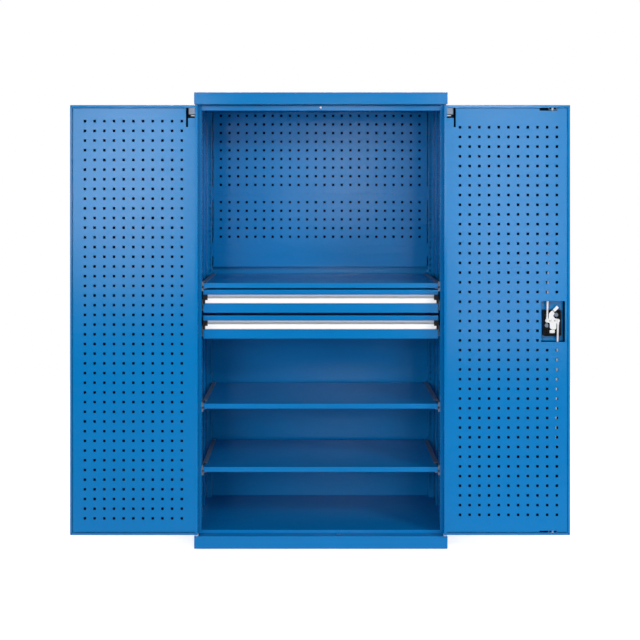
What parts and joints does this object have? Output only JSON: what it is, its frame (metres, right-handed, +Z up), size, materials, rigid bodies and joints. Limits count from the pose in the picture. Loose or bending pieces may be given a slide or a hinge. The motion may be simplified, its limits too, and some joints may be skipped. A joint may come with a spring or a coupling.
{
  "type": "tool cabinet with doors",
  "caption": "Blue sheet-steel workshop cabinet with two perforated hinged doors, drawers, shelves, a perforated back panel and a rod lock.",
  "frame": {"origin": "on the floor, under the middle of the box round the cabinet with both doors opened by half a turn", "axes": "+X to the right seen from the front, +Y to the rear, +Z up; the doors open towards -Y"},
  "size_m": [1.966, 0.626, 1.8],
  "materials": {
    "blue_paint": "satin powder coat",
    "galvanised_steel": "galvanised",
    "zinc_plated_steel": "bright zinc plate",
    "aluminium": "anodised",
    "white_plastic": "matt",
    "black_plastic": "matt"
  },
  "bodies": {
    "carcass": {"left_side_panel": "blue_paint", "right_side_panel": "blue_paint", "back_panel": "blue_paint", "top_cap": "blue_paint", "ceiling_panel": "blue_paint", "header_rail": "blue_paint", "plinth": "blue_paint", "floor_panel": "blue_paint", "side_ribs": "blue_paint", "front_uprights": "blue_paint", "rear_uprights": "blue_paint", "perforated_back_panel": "blue_paint", "back_stiffeners": "blue_paint", "drawer_top_shelf": "blue_paint", "middle_shelf": "blue_paint", "lower_shelf": "blue_paint", "top_shelf_brackets": "galvanised_steel", "middle_shelf_brackets": "galvanised_steel", "lower_shelf_brackets": "galvanised_steel", "bottom_pivots": "zinc_plated_steel", "header_buffer": "white_plastic", "upper_slide_rails": "galvanised_steel", "lower_slide_rails": "galvanised_steel"},
    "upper_slide": {"upper_slide_middles": "galvanised_steel"},
    "upper_drawer": {"upper_slide_runners": "galvanised_steel", "upper_drawer_box": "blue_paint", "upper_drawer_front": "blue_paint", "upper_drawer_grip": "aluminium", "upper_drawer_label": "white_plastic", "upper_drawer_end_caps": "black_plastic"},
    "lower_slide": {"lower_slide_middles": "galvanised_steel"},
    "lower_drawer": {"lower_slide_runners": "galvanised_steel", "lower_drawer_box": "blue_paint", "lower_drawer_front": "blue_paint", "lower_drawer_grip": "aluminium", "lower_drawer_label": "white_plastic", "lower_drawer_end_caps": "black_plastic"},
    "left_door": {"left_door_shell": "blue_paint", "left_door_panel": "blue_paint", "left_hinge_block": "zinc_plated_steel", "left_bolt_guide": "blue_paint", "left_bottom_bush": "white_plastic"},
    "left_bolt": {"left_hinge_bolt": "zinc_plated_steel", "left_hinge_spring": "galvanised_steel"},
    "right_door": {"right_door_shell": "blue_paint", "right_door_panel": "blue_paint", "right_door_strip": "blue_paint", "right_hinge_block": "zinc_plated_steel", "right_bolt_guide": "blue_paint", "right_bottom_bush": "white_plastic", "handle_base": "black_plastic", "rod_guides": "zinc_plated_steel"},
    "right_bolt": {"right_hinge_bolt": "zinc_plated_steel", "right_hinge_spring": "galvanised_steel"},
    "lock": {"turning_handle": "black_plastic", "lock_spindle": "galvanised_steel", "lock_cam": "zinc_plated_steel"},
    "key": {"key_plug": "zinc_plated_steel"},
    "upper_rod": {"upper_rod": "zinc_plated_steel"},
    "lower_rod": {"lower_rod": "zinc_plated_steel"}
  },
  "joints": [
    {"name": "left_door_swing", "type": "hinge", "parent": "carcass", "child": "left_door", "pos_m": [-0.4905, -0.279, 0.9], "axis": [0, 0, -1], "range_deg": [-180, 0]},
    {"name": "right_door_swing", "type": "hinge", "parent": "carcass", "child": "right_door", "pos_m": [0.4905, -0.279, 0.9], "axis": [0, 0, 1], "range_deg": [-180, 0]},
    {"name": "upper_drawer_slide", "type": "slide", "parent": "carcass", "child": "upper_drawer", "axis": [0, -1, 0], "range_m": [0, 0.43]},
    {"name": "upper_slide_travel", "type": "slide", "parent": "carcass", "child": "upper_slide", "axis": [0, -1, 0], "range_m": [0, 0.215]},
    {"name": "lower_drawer_slide", "type": "slide", "parent": "carcass", "child": "lower_drawer", "axis": [0, -1, 0], "range_m": [0, 0.43]},
    {"name": "lower_slide_travel", "type": "slide", "parent": "carcass", "child": "lower_slide", "axis": [0, -1, 0], "range_m": [0, 0.215]},
    {"name": "left_bolt_slide", "type": "slide", "parent": "left_door", "child": "left_bolt", "axis": [0, 0, 1], "range_m": [-0.0065, 0], "stiffness_N_per_m": 900, "springref_m": 0.008, "deforming": ["left_hinge_spring"]},
    {"name": "right_bolt_slide", "type": "slide", "parent": "right_door", "child": "right_bolt", "axis": [0, 0, 1], "range_m": [-0.0065, 0], "stiffness_N_per_m": 900, "springref_m": 0.008, "deforming": ["right_hinge_spring"]},
    {"name": "handle_turn", "type": "hinge", "parent": "right_door", "child": "lock", "pos_m": [0.9105, -0.279, 0.901], "axis": [0, -1, 0], "range_deg": [-90, 0]},
    {"name": "key_turn", "type": "hinge", "parent": "right_door", "child": "key", "pos_m": [0.9105, -0.279, 0.858], "axis": [0, -1, 0], "range_deg": [-90, 0]},
    {"name": "upper_rod_hinge", "type": "hinge", "parent": "lock", "child": "upper_rod", "pos_m": [0.889, -0.279, 0.901], "axis": [0, -1, 0], "range_deg": [0, 91.5]},
    {"name": "lower_rod_hinge", "type": "hinge", "parent": "lock", "child": "lower_rod", "pos_m": [0.932, -0.279, 0.901], "axis": [0, -1, 0], "range_deg": [0, 91.5]}
  ],
  "couplings": [
    {"joint": "upper_slide_travel", "follows": "upper_drawer_slide", "ratio": 0.5},
    {"joint": "lower_slide_travel", "follows": "lower_drawer_slide", "ratio": 0.5},
    {"joint": "upper_rod_hinge", "follows": "handle_turn", "ratio": -1.0162},
    {"joint": "lower_rod_hinge", "follows": "handle_turn", "ratio": -1.0162}
  ]
}
